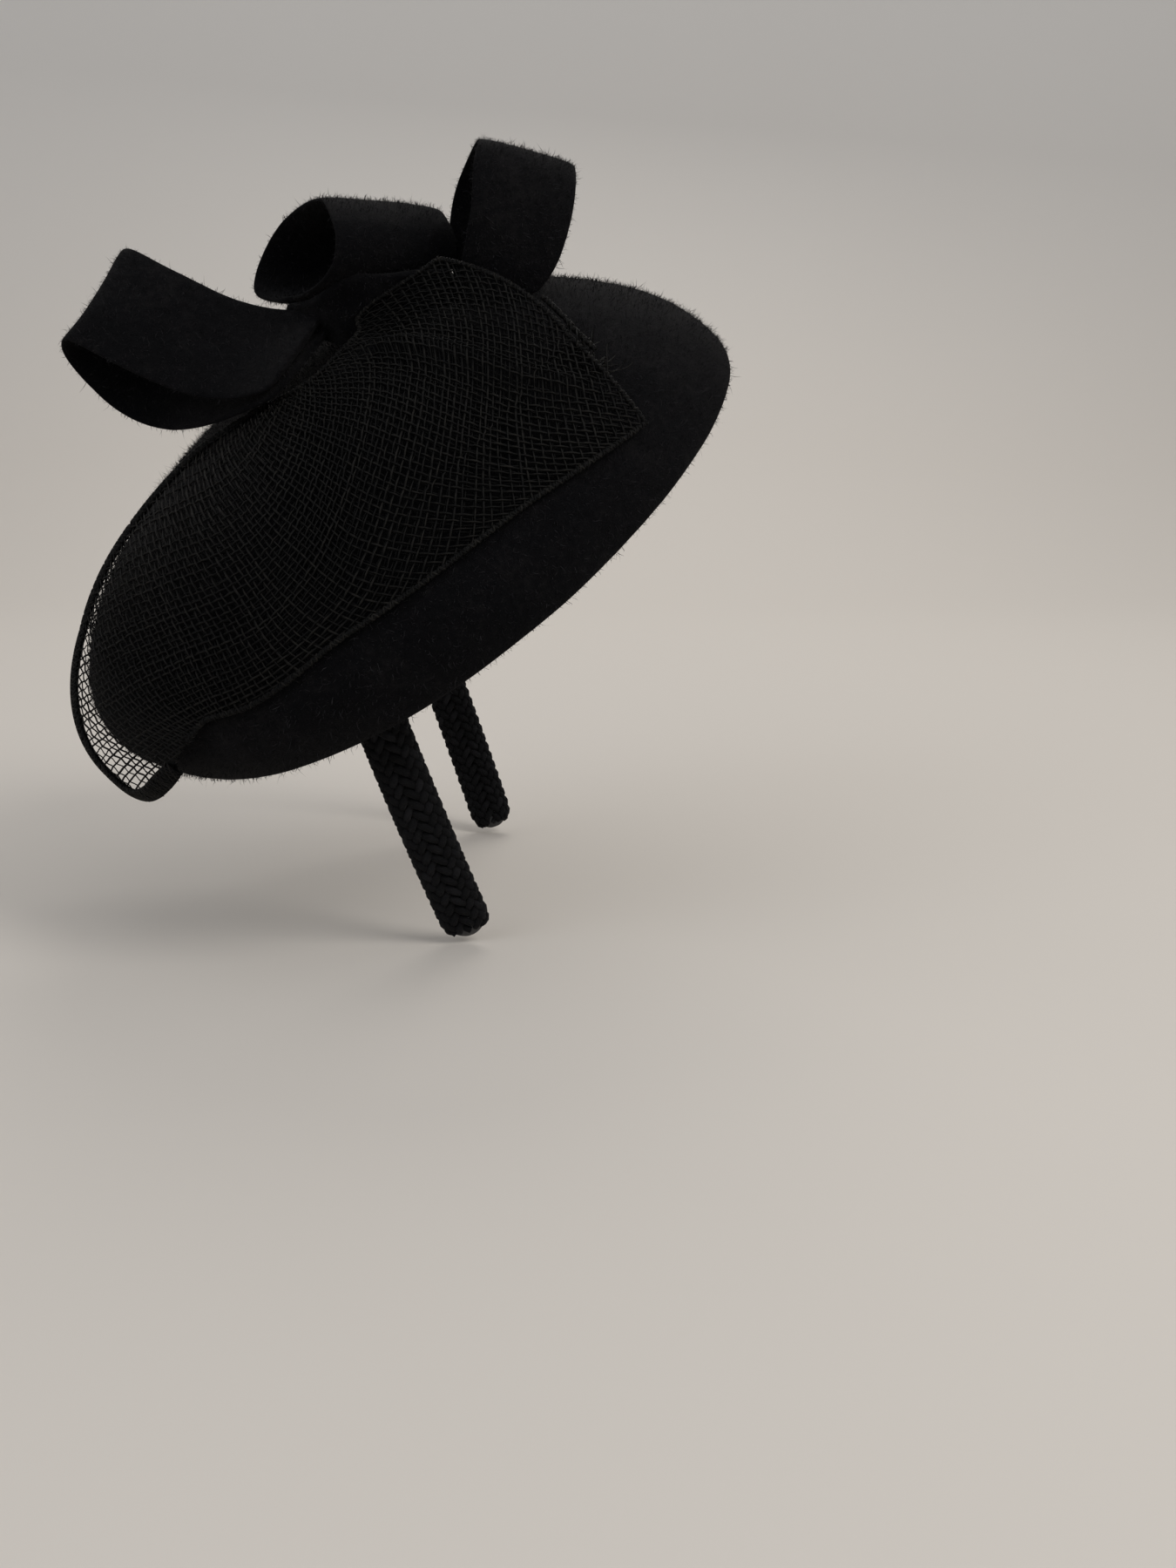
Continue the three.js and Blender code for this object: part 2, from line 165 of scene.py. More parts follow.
# A row per rib of the cloth, from the front corner round the right side to the rear curl. Each cell is for
# the lower edge, the middle and the upper edge: bearing and climb on the crown, lift off the felt, and the
# millimetre of the flat cloth that lies there, counted over its warp and over its weft.
RIBS = [
    # bearing              climb                 lift              warp                  weft
    ((-43, -31.5, -17), (15.3, 41.3, 65), (1.2, 6, 13), (0.0, 11.4, 34.2), (98.1, 114.3, 124.1)),
    ((-54, -48, -25), (19.6, 45.4, 71), (0.9, 5.5, 9), (11.2, 25.5, 43.1), (87.8, 103.4, 118.8)),
    ((-63.5, -59, -33), (22.9, 49.2, 76), (0.6, 5.5, 6.4), (20.4, 36.3, 49.7), (79.7, 95.9, 115.1)),
    ((-72, -68, -40), (24.5, 50.4, 78), (0.4, 5.5, 5.3), (27.5, 43.7, 53.3), (73.8, 89.7, 112.6)),
    ((-81.5, -77.5, -50), (25.3, 50.4, 78.5), (0.4, 5, 5.2), (33.5, 50.2, 56.9), (68.3, 83.3, 108.8)),
    ((-91, -87, -64), (25.7, 51.2, 79), (0.4, 3.5, 4.8), (38.6, 57.5, 62.7), (62.4, 77.2, 103.3)),
    ((-99.5, -95.5, -84), (25.8, 53.5, 80), (0.4, 2, 3.6), (41.1, 64.9, 71.0), (56.1, 71.9, 96.7)),
    ((-109, -105.5, -106), (23.9, 52.5, 81), (0.4, 4, 3), (40.4, 71.3, 80.1), (49.2, 64.3, 90.3)),
    ((-116.5, -116.5, -130), (22.9, 53.9, 81.5), (0.4, 6, 2.6), (40.0, 75.9, 86.9), (43.3, 56.0, 83.7)),
    ((-121.5, -133, -150), (23.4, 53.2, 79), (0.4, 5.5, 3), (41.0, 75.6, 90.2), (38.0, 43.8, 73.9)),
    ((-124, -144.5, -166), (23.7, 48.1, 71), (0.4, 4.5, 4.5), (41.7, 72.0, 89.8), (33.7, 32.8, 54.8)),
    ((-125.3, -148, -172), (23.6, 40.5, 54), (0.4, 4, 4.6), (41.9, 66.2, 82.7), (31.4, 24.7, 30.6)),
    ((-126, -145, -168), (23.3, 32.5, 38), (0.4, 3.5, 4.6), (41.7, 58.1, 71.9), (30.1, 19.8, 13.2)),
    ((-126.7, -141.5, -160.5), (23, 26, 26), (0.5, 3.5, 5.6), (41.4, 50.3, 59.2), (29.0, 15.0, 4.0)),
    ((-127.4, -138.5, -153.5), (22.4, 20.6, 16.4), (0.7, 4.5, 6.8), (40.9, 42.9, 46.6), (27.5, 10.1, 0.0)),
    ((-128.3, -135.5, -146), (21.7, 17.3, 12.4), (1.2, 6, 8.2), (40.1, 37.2, 37.4), (24.8, 8.5, 0.9)),
    ((-130, -131.5, -133), (20.5, 18.5, 16.2), (2, 4.5, 7), (38.9, 36.0, 32.0), (20.4, 13.4, 7.4)),
]
RIB_TABLE = np.array(RIBS, float)
BEARING, CLIMB, LIFT, WARP, WEFT = range(5)
GRID_ALONG = 128
GRID_ACROSS = 48

# Floor, the wall behind it and the camera, in metres and degrees
FLOOR_SIZE = (6, 4.2, 1)
FLOOR_FORWARD = -0.7
FLOOR_GAP = 0.0015
WALL_HEIGHT = 2.6
SWEEP_RADIUS = 0.7
NEAR_EDGE = 0.01
CAMERA_PLACE = (0.0761, -0.4724, -0.0035)
CAMERA_TILT = 78

chance = np.random.default_rng(7)


# Selecting and shaping


def nothing_selected():
    if bpy.context.mode != "OBJECT":
        bpy.ops.object.mode_set(mode="OBJECT")
    bpy.ops.object.select_all(action="DESELECT")


def only_selected(piece):
    nothing_selected()
    piece.select_set(True)
    bpy.context.view_layer.objects.active = piece


def add_modifier(piece, name, kind, **settings):
    """Adds a modifier and applies it at once."""
    only_selected(piece)
    modifier = piece.modifiers.new(name, kind)
    for key, value in settings.items():
        setattr(modifier, key, value)
    bpy.ops.object.modifier_apply(modifier=modifier.name)


def piece_from_arrays(name, points, faces, tone):
    """A piece from arrays of points, in metres, and faces, with a tone between 0 and 1 at each point."""
    mesh = bpy.data.meshes.new(name)
    mesh.from_pydata(points.tolist(), [], faces.tolist())
    mesh.attributes.new("tone", "FLOAT", "POINT").data.foreach_set("value", tone.astype(np.float32))
    mesh.shade_smooth()
    piece = bpy.data.objects.new(name, mesh)
    bpy.context.scene.collection.objects.link(piece)
    return piece


def finish_piece(piece, material, node=None):
    piece.data.materials.clear()
    piece.data.materials.append(material)
    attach(piece, "root")
    if node:
        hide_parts(node)
    return piece


# Finishes


class Value:
    """A number, colour or vector over a surface. Arithmetic on numbers adds Math nodes."""

    def __init__(self, finish, socket):
        self.finish = finish
        self.socket = socket

    def maths(self, operation, other):
        return self.finish.node("ShaderNodeMath", {"operation": operation}, {0: self, 1: other})

    def __add__(self, other):
        return self.maths("ADD", other)

    def __mul__(self, other):
        return self.maths("MULTIPLY", other)

    __radd__ = __add__
    __rmul__ = __mul__


class Finish:
    """A material with one Principled shader, fed by nodes."""

    def __init__(self, name, **fixed):
        self.material = bpy.data.materials.new(name)
        self.material.use_nodes = True
        self.tree = self.material.node_tree
        self.shader = next(n for n in self.tree.nodes if n.type == "BSDF_PRINCIPLED")
        for socket, value in fixed.items():
            self.shader.inputs[socket.replace("_", " ")].default_value = value

    def node(self, kind, settings=None, inputs=None, output=0):
        made = self.tree.nodes.new(kind)
        for key, value in (settings or {}).items():
            if key == "stops":
                while len(made.color_ramp.elements) < len(value):
                    made.color_ramp.elements.new(0.5)
                for element, (place, colour) in zip(made.color_ramp.elements, value):
                    element.position = place
                    element.color = (*colour, 1)
            else:
                setattr(made, key, value)
        for key, value in (inputs or {}).items():
            self.feed(made.inputs[key], value)
        return Value(self, made.outputs[output])

    def feed(self, socket, value):
        if isinstance(value, Value):
            self.tree.links.new(value.socket, socket)
        else:
            socket.default_value = value

    def place(self):
        return self.node("ShaderNodeTexCoord", output=3)

    def noise(self, scale, detail=3.0, rough=0.6):
        sockets = {"Vector": self.place(), "Scale": scale, "Detail": detail, "Roughness": rough}
        return self.node("ShaderNodeTexNoise", None, sockets)

    def ramp(self, value, *stops):
        return self.node("ShaderNodeValToRGB", {"stops": stops}, {0: value})

    def tone(self):
        return self.node("ShaderNodeAttribute", {"attribute_name": "tone"}, output=2)

    def surface(self, **fed):
        for socket, value in fed.items():
            self.feed(self.shader.inputs[socket.replace("_", " ")], value)
        return self.material

    def bump(self, height, depth):
        return self.node("ShaderNodeBump", None, {"Height": height, "Distance": depth, "Strength": 1.0})


def felt_finish():
    felt = Finish("black_felt", Sheen_Weight=0.02, Sheen_Roughness=0.5, Specular_IOR_Level=0.04)
    felt.shader.inputs["Sheen Tint"].default_value = (1.0, 0.97, 0.95, 1)
    cloudy = felt.noise(55.0, 2.0)
    mottle = felt.noise(520.0, 4.0, 0.65)
    fibre = felt.noise(2600.0, 3.0, 0.7)
    depth = cloudy * 0.3 + mottle * 0.4 + fibre * 0.3
    colour = felt.ramp(
        depth,
        (0.32, (0.0010, 0.0011, 0.0015)),
        (0.50, (0.0028, 0.0028, 0.0034)),
        (0.68, (0.0090, 0.0084, 0.0088)),
    )
    height = mottle * 0.5 + fibre * 0.6
    return felt.surface(Base_Color=colour, Roughness=0.8 + 0.2 * mottle, Normal=felt.bump(height, 0.0005))


def fuzz_finish():
    fuzz = Finish("felt_fuzz", Roughness=0.9, Specular_IOR_Level=0.08)
    colour = fuzz.ramp(fuzz.tone(), (0.0, (0.0012, 0.0012, 0.0016)), (1.0, (0.024, 0.0232, 0.0252)))
    return fuzz.surface(Base_Color=colour)


def sinamay_finish():
    straw = Finish("black_sinamay", Specular_IOR_Level=0.1)
    tone = straw.tone()
    grain = straw.noise(900.0, 3.0)
    colour = straw.ramp(
        tone * 0.75 + grain * 0.35,
        (0.15, (0.0003, 0.0003, 0.0004)),
        (0.55, (0.0017, 0.0016, 0.0015)),
        (1.0, (0.0120, 0.0110, 0.0094)),
    )
    fine = straw.noise(3500.0, 2.0)
    return straw.surface(Base_Color=colour, Roughness=0.42 + 0.3 * grain, Normal=straw.bump(fine, 0.00012))


def hem_finish():
    hem = Finish("rolled_sinamay", Specular_IOR_Level=0.15)
    weave = hem.noise(1400.0, 3.0, 0.7)
    colour = hem.ramp(weave, (0.3, (0.0015, 0.0015, 0.0015)), (0.75, (0.006, 0.0058, 0.0055)))
    return hem.surface(Base_Color=colour, Roughness=0.6 + 0.3 * weave, Normal=hem.bump(weave, 0.0005))


def yarn_finish():
    yarn = Finish("black_yarn", Specular_IOR_Level=0.12, Sheen_Weight=0.02)
    tone = yarn.tone()
    hairs = yarn.noise(2200.0, 4.0, 0.7)
    colour = yarn.ramp(
        tone * 0.6 + hairs * 0.5,
        (0.2, (0.0005, 0.0005, 0.0008)),
        (0.55, (0.0022, 0.0022, 0.0028)),
        (0.95, (0.0092, 0.0090, 0.0104)),
    )
    return yarn.surface(Base_Color=colour, Roughness=0.6 + 0.3 * hairs, Normal=yarn.bump(hairs, 0.0003))


def tip_finish():
    tip = Finish("satin_tip", Specular_IOR_Level=0.5)
    wear = tip.noise(300.0, 4.0)
    colour = tip.ramp(wear, (0.3, (0.02, 0.02, 0.021)), (0.7, (0.045, 0.045, 0.047)))
    return tip.surface(Base_Color=colour, Roughness=0.3 + 0.25 * wear, Normal=tip.bump(wear, 0.0001))


# Felt


def smooth_copy(node, name, levels):
    """A copy of a CAD node with its triangles joined to quads and rounded off."""
    piece = bpy.data.objects.new(name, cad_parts[node].data.copy())
    bpy.context.scene.collection.objects.link(piece)
    only_selected(piece)
    bpy.ops.object.mode_set(mode="EDIT")
    bpy.ops.mesh.select_all(action="SELECT")
    bpy.ops.mesh.remove_doubles(threshold=2e-6)
    bpy.ops.mesh.tris_convert_to_quads(face_threshold=math.radians(50), shape_threshold=math.radians(70))
    bpy.ops.object.mode_set(mode="OBJECT")
    add_modifier(piece, "round", "SUBSURF", levels=levels, render_levels=levels)
    return piece


def uneven(piece, size, depth):
    """Felt pulled by hand over a block is never quite true."""
    clouds = bpy.data.textures.new(piece.name + "_uneven", "CLOUDS")
    clouds.noise_scale = size
    settings = {"texture": clouds, "strength": depth, "mid_level": 0.5, "texture_coords": "LOCAL"}
    add_modifier(piece, "uneven", "DISPLACE", **settings)
    only_selected(piece)
    bpy.ops.object.shade_smooth()


def dent(piece):
    """The turn of the rear loop is pressed in between its two edges."""
    turn = hat_turn()
    middle = turn @ np.array(DENT_MIDDLE) + np.array(RIM_CENTRE)
    across = turn @ np.array([math.cos(math.radians(DENT_TURN)), math.sin(math.radians(DENT_TURN)), 0])
    inward = turn @ np.array(DENT_WAY)
    for vertex in piece.data.vertices:
        from_middle = np.array(vertex.co) / MM - middle
        share = from_middle @ across / DENT_HALF_WIDTH
        off_turn = np.linalg.norm(from_middle - across * (from_middle @ across))
        depth = DENT_DEPTH * max(1 - share**2, 0) * math.exp(-((off_turn / DENT_REACH) ** 2))
        vertex.co += Vector(inward * depth * MM)


def felt_knot():
    """The gathered middle of the felt strip, stood on edge where the loops are sewn to the crown."""
    nothing_selected()
    bpy.ops.mesh.primitive_grid_add(x_subdivisions=34, y_subdivisions=8, size=1)
    piece = bpy.context.object
    piece.name = "felt_strip_knot"
    turn = hat_turn()
    rows = np.array(KNOT_ROWS)
    places = np.linspace(0, 1, len(rows))
    for vertex in piece.data.vertices:
        along, across, foot, top = (np.interp(vertex.co.x + 0.5, places, rows[:, k]) for k in range(4))
        rise = vertex.co.y + 0.5
        sway = KNOT_SWAY * math.sin(2 * math.pi * rise) * math.sin(5 * math.pi * vertex.co.x)
        in_hat = np.array([along, across + sway, foot + rise * (top - foot)])
        vertex.co = (turn @ in_hat + np.array(RIM_CENTRE)) * MM
    add_modifier(piece, "wall", "SOLIDIFY", thickness=KNOT_THICK * MM, offset=0)
    add_modifier(piece, "round", "SUBSURF", levels=2, render_levels=2)
    uneven(piece, 0.006, 0.0008)
    return piece


def outward_points(piece, count, away_from=None):
    """Evenly scattered places on a piece, or on its faces that look away from a point, with their normals."""
    mesh = piece.data
    mesh.calc_loop_triangles()
    corners = np.zeros(len(mesh.loop_triangles) * 3, np.int32)
    mesh.loop_triangles.foreach_get("vertices", corners)
    points = np.zeros(len(mesh.vertices) * 3, np.float32)
    mesh.vertices.foreach_get("co", points)
    normals = np.zeros(len(mesh.vertices) * 3, np.float32)
    mesh.vertices.foreach_get("normal", normals)
    corners, points, normals = corners.reshape(-1, 3), points.reshape(-1, 3), normals.reshape(-1, 3)
    a, b, c = (points[corners[:, k]] for k in range(3))
    area = np.linalg.norm(np.cross(b - a, c - a), axis=1)
    if away_from is not None:
        area = area * ((np.cross(b - a, c - a) * (a - np.array(away_from) * MM)).sum(1) > 0)
    chosen = chance.choice(len(corners), count, p=area / area.sum())
    share = chance.dirichlet((1, 1, 1), count)
    at = np.einsum("nk,nkc->nc", share, points[corners[chosen]])
    out = np.einsum("nk,nkc->nc", share, normals[corners[chosen]])
    return at, out / np.linalg.norm(out, axis=1, keepdims=True)


def fuzz(piece, count, longest, away_from=None):
    """Loose wool fibres over a felt piece, each a fine bent blade."""
    at, out = outward_points(piece, count, away_from)
    lean = chance.normal(size=(count, 3))
    lean -= out * (lean * out).sum(1, keepdims=True)
    lean /= np.linalg.norm(lean, axis=1, keepdims=True)
    share = chance.random(count)
    stray = chance.random(count) < STRAY_SHARE
    of_longest = np.where(stray, STRAY_LEAST + STRAY_MORE * share, FIBRE_LEAST + FIBRE_MORE * share)
    long = longest * MM * of_longest[:, None]
    first = out * FIBRE_OUT + lean * FIBRE_LEAN
    curl = chance.normal(size=(count, 3)) * FIBRE_CURL
    middle = at + first * long * 0.5
    tip = middle + (first + curl - out * 0.15) * long * 0.5
    side = np.cross(first, out + 0.3 * curl)
    side /= np.linalg.norm(side, axis=1, keepdims=True)
    half = side * (FIBRE_HALF_WIDTH + FIBRE_WIDER * chance.random(count)[:, None]) * MM
    base = at - out * FIBRE_ROOT * MM
    points = np.stack([base - half, base + half, middle + half, middle - half, tip], 1)
    start = 5 * np.arange(count)[:, None]
    quads = start + np.array([0, 1, 2, 3])
    ends = start + np.array([3, 2, 4])
    mesh = bpy.data.meshes.new(piece.name + "_fuzz")
    mesh.from_pydata(points.reshape(-1, 3).tolist(), [], quads.tolist() + ends.tolist())
    tone = np.repeat(chance.random(count) ** 1.6, 5)
    mesh.attributes.new("tone", "FLOAT", "POINT").data.foreach_set("value", tone.astype(np.float32))
    hairs = bpy.data.objects.new(piece.name + "_fuzz", mesh)
    bpy.context.scene.collection.objects.link(hairs)
    return finish_piece(hairs, FUZZ)


# The crown's surface and the cloth over it


def crown_skin(bearing, climb):
    around = np.radians(bearing)
    height = np.sin(np.radians(climb))
    dome = np.maximum(1 - height**CROWN_SHOULDER, 0) ** (1 / CROWN_ROUNDNESS)
    share = dome * (1 + CROWN_BULGE * np.sin(np.pi * np.minimum(height * CROWN_BULGE_REACH, 1)))
    ahead = CROWN_HALF_LENGTH * np.cos(around) * share - CROWN_BACK_LEAN * np.sin(np.pi * height)
    left = CROWN_HALF_WIDTH * np.sin(around) * (1 - CROWN_FRONT_TAPER * np.cos(around)) * share
    return np.stack([ahead, left, CROWN_HEIGHT * height], -1)


def crown_outward(bearing, climb):
    step = 0.2
    level = np.minimum(climb, CROWN_TOP_CLIMB)
    side = crown_skin(bearing + step, level) - crown_skin(bearing - step, level)
    above = crown_skin(bearing, np.minimum(climb + step, CROWN_TOP_CLIMB))
    below = crown_skin(bearing, np.maximum(climb - step, 0))
    outward = np.cross(side, above - below)
    return outward / np.linalg.norm(outward, axis=-1, keepdims=True)


def hat_turn():
    pitch, roll = -math.radians(HAT_PITCH), math.radians(HAT_ROLL)
    about_y = np.array(
        [[math.cos(pitch), 0, math.sin(pitch)], [0, 1, 0], [-math.sin(pitch), 0, math.cos(pitch)]]
    )
    about_x = np.array(
        [[1, 0, 0], [0, math.cos(roll), -math.sin(roll)], [0, math.sin(roll), math.cos(roll)]]
    )
    return about_y @ about_x


def rib_value(column, along, across):
    """One column of the ribs, at a share along the cloth and across it, on a smooth curve."""
    last = len(RIB_TABLE) - 1
    place = np.clip(along * last, 0, last - 1e-9)
    row = np.floor(place).astype(int)
    f = place - row
    weights = (
        -0.5 * f + f**2 - 0.5 * f**3,
        1 - 2.5 * f**2 + 1.5 * f**3,
        0.5 * f + 2 * f**2 - 1.5 * f**3,
        -0.5 * f**2 + 0.5 * f**3,
    )
    cells = sum(
        w[..., None] * RIB_TABLE[np.clip(row + k, 0, last), column] for k, w in zip((-1, 0, 1, 2), weights)
    )
    across = across + FLAP_SWELL * across**4 * np.exp(-(((along - FLAP_PLACE) / FLAP_REACH) ** 2))
    rest = 1 - across
    return (
        (rest * rest - rest * across) * cells[..., 0]
        + 4 * rest * across * cells[..., 1]
        + (across * across - rest * across) * cells[..., 2]
    )


def cloth_at(along, across, raised=0.0):
    """Places on the draped cloth, in metres, and the way out from it. A fold crosses its front lobe."""
    along, across = np.asarray(along, float), np.asarray(across, float)
    bearing = rib_value(BEARING, along, across)
    climb = rib_value(CLIMB, along, across)
    weft = rib_value(WEFT, along, across)
    ridge = FOLD_RIDGE * np.exp(-(((weft - FOLD_RIDGE_WEFT) / FOLD_RIDGE_REACH) ** 2))
    hollow = FOLD_HOLLOW * np.exp(-(((weft - FOLD_HOLLOW_WEFT) / FOLD_HOLLOW_REACH) ** 2))
    front = np.clip((FOLD_END - along) / FOLD_FADE_ALONG, 0, 1)
    upper = np.clip((across - FOLD_START) / FOLD_FADE_ACROSS, 0, 1)
    fold = (ridge - hollow) * (front * upper)
    lift = np.maximum(rib_value(LIFT, along, across), LEAST_LIFT) + CLOTH_MIDDLE + fold + raised
    outward = crown_outward(bearing, climb)
    spot = crown_skin(bearing, climb) + outward * lift[..., None]
    turn = hat_turn()
    return (spot @ turn.T + np.array(RIM_CENTRE)) * MM, outward @ turn.T


def level_lines(values, levels):
    """Lines of equal value over a grid, each an array of grid places."""
    rows, columns = values.shape
    index = np.arange(rows * columns).reshape(rows, columns)
    a, b, c, d = index[:-1, :-1], index[1:, :-1], index[1:, 1:], index[:-1, 1:]
    triangles = np.concatenate(
        [np.stack([a, b, c], -1).reshape(-1, 3), np.stack([a, c, d], -1).reshape(-1, 3)]
    )
    flat = values.ravel()
    lines = []
    for level in levels:
        above = flat[triangles] > level
        crossed = triangles[above.any(1) & ~above.all(1)]
        joins = {}
        for triangle in crossed.tolist():
            cut = []
            for p, q in ((0, 1), (1, 2), (2, 0)):
                p, q = triangle[p], triangle[q]
                if (flat[p] > level) != (flat[q] > level):
                    cut.append((min(p, q), max(p, q)))
            joins.setdefault(cut[0], []).append(cut[1])
            joins.setdefault(cut[1], []).append(cut[0])
        unused = set(joins)
        while unused:
            ends = (edge for edge in sorted(unused) if sum(n in unused for n in joins[edge]) <= 1)
            start = next(ends, min(unused))
            chain = [start]
            unused.discard(start)
            while True:
                following = [n for n in joins[chain[-1]] if n in unused]
                if not following:
                    break
                chain.append(following[0])
                unused.discard(following[0])
            if len(chain) > 2:
                p, q = np.array(chain).T
                share = ((level - flat[p]) / (flat[q] - flat[p]))[:, None]
                grid_p = np.stack(np.divmod(p, columns), -1)
                grid_q = np.stack(np.divmod(q, columns), -1)
                lines.append((level, grid_p + share * (grid_q - grid_p)))
    return lines


def evenly(line, lengths, step):
    """A line resampled by its length."""
    total = lengths[-1]
    count = max(int(round(total / step)), 2)
    wanted = np.linspace(0, total, count + 1)
    return np.stack([np.interp(wanted, lengths, line[:, k]) for k in range(line.shape[1])], -1)


def run_length(points):
    return np.concatenate([[0], np.cumsum(np.linalg.norm(np.diff(points, axis=0), axis=1))])


class Tubes:
    """Many thin tubes gathered into one mesh."""

    def __init__(self, sides):
        self.sides = sides
        self.points = []
        self.faces = []
        self.tones = []
        self.count = 0

    def add(self, line, outward, half_wide, half_thick, tone):
        """One tube along a line, wide across the surface and thin along the way out."""
        ahead = np.gradient(line, axis=0)
        ahead /= np.linalg.norm(ahead, axis=1, keepdims=True) + 1e-12
        side = np.cross(ahead, outward)
        side /= np.linalg.norm(side, axis=1, keepdims=True) + 1e-12
        up = np.cross(side, ahead)
        angle = 2 * np.pi * np.arange(self.sides) / self.sides
        wide = np.broadcast_to(np.asarray(half_wide, float), (len(line),))[:, None, None]
        thick = np.broadcast_to(np.asarray(half_thick, float), (len(line),))[:, None, None]
        ring = line[:, None] + side[:, None] * np.cos(angle)[:, None] * wide
        ring = ring + up[:, None] * np.sin(angle)[:, None] * thick
        here = self.count + np.arange(len(line) - 1)[:, None] * self.sides + np.arange(self.sides)
        beside = self.count + np.arange(len(line) - 1)[:, None] * self.sides
        beside = beside + (np.arange(self.sides) + 1) % self.sides
        self.points.append(ring.reshape(-1, 3))
        quads = np.stack([here, here + self.sides, beside + self.sides, beside], -1)
        self.faces.append(quads.reshape(-1, 4))
        self.tones.append(np.repeat(np.broadcast_to(np.asarray(tone, float), (len(line),)), self.sides))
        self.count += len(line) * self.sides

    def piece(self, name):
        points, faces, tones = (np.concatenate(rows) for rows in (self.points, self.faces, self.tones))
        return piece_from_arrays(name, points, faces, tones)


def weave(tubes, raised, shift, skew, last_along, painted_shade_scale):
    """Warp and weft of one layer of cloth, each thread over one and under the next. The whole layer's tone is
    scaled down as painted shade where it lies under another layer.
    """
    along, across = np.meshgrid(
        np.linspace(0, 1, GRID_ALONG + 1), np.linspace(0, 1, GRID_ACROSS + 1), indexing="ij"
    )
    warp = rib_value(WARP, along, across)
    weft = rib_value(WEFT, along, across)
    warp, weft = (warp + skew * weft) / WARP_SPACING - shift, (weft - skew * warp) / WEFT_SPACING - shift
    for own, other, sign in ((warp, weft, 1), (weft, warp, -1)):
        numbers = np.arange(math.ceil(own.min()), math.floor(own.max()) + 1)
        threads = level_lines(own, numbers + 0.1 * chance.normal(size=len(numbers)))
        for level, places in threads:
            shares = places / np.array([GRID_ALONG, GRID_ACROSS])
            shares = shares[shares[:, 0] <= last_along]
            if len(shares) < 3:
                continue
            spots, _ = cloth_at(shares[:, 0], shares[:, 1])
            lengths = run_length(spots) / MM
            if lengths[-1] < SHORTEST_THREAD:
                continue
            shares = evenly(shares, lengths, THREAD_STEP)
            row, column = shares[:, 0] * GRID_ALONG, shares[:, 1] * GRID_ACROSS
            r0 = np.clip(row.astype(int), 0, GRID_ALONG - 1)
            c0 = np.clip(column.astype(int), 0, GRID_ACROSS - 1)
            fr, fc = row - r0, column - c0
            crossing = (
                other[r0, c0] * (1 - fr) * (1 - fc)
                + other[r0 + 1, c0] * fr * (1 - fc)
                + other[r0, c0 + 1] * (1 - fr) * fc
                + other[r0 + 1, c0 + 1] * fr * fc
            )
            climb = sign * THREAD_CLIMB * np.cos(np.pi * crossing) * (-1) ** (round(level) % 2)
            spots, outward = cloth_at(shares[:, 0], shares[:, 1], raised + climb)
            bends = max(len(spots) // 7, 2)
            bend_places = np.linspace(0, len(spots) - 1, bends)
            aside = chance.normal(size=bends) * THREAD_WOBBLE * MM
            wobble = np.interp(np.arange(len(spots)), bend_places, aside)
            ahead = np.gradient(spots, axis=0)
            side = np.cross(ahead, outward)
            side /= np.linalg.norm(side, axis=1, keepdims=True) + 1e-12
            stout = 0.72 + 0.5 * chance.random()
            # Tone is random per thread and along it, and is also painted lighter where the thread rides over
            # a crossing and darker where it dips under: painted highlight and painted shade
            over = climb / THREAD_CLIMB
            tone = 0.4 + 0.3 * chance.random() + 0.16 * over + 0.1 * chance.normal(size=len(spots))
            tubes.add(
                spots + side * wobble[:, None],
                outward,
                THREAD_HALF_WIDE * stout * MM,
                THREAD_HALF_THICK * stout * MM,
                painted_shade_scale * np.clip(tone, 0, 1),
            )


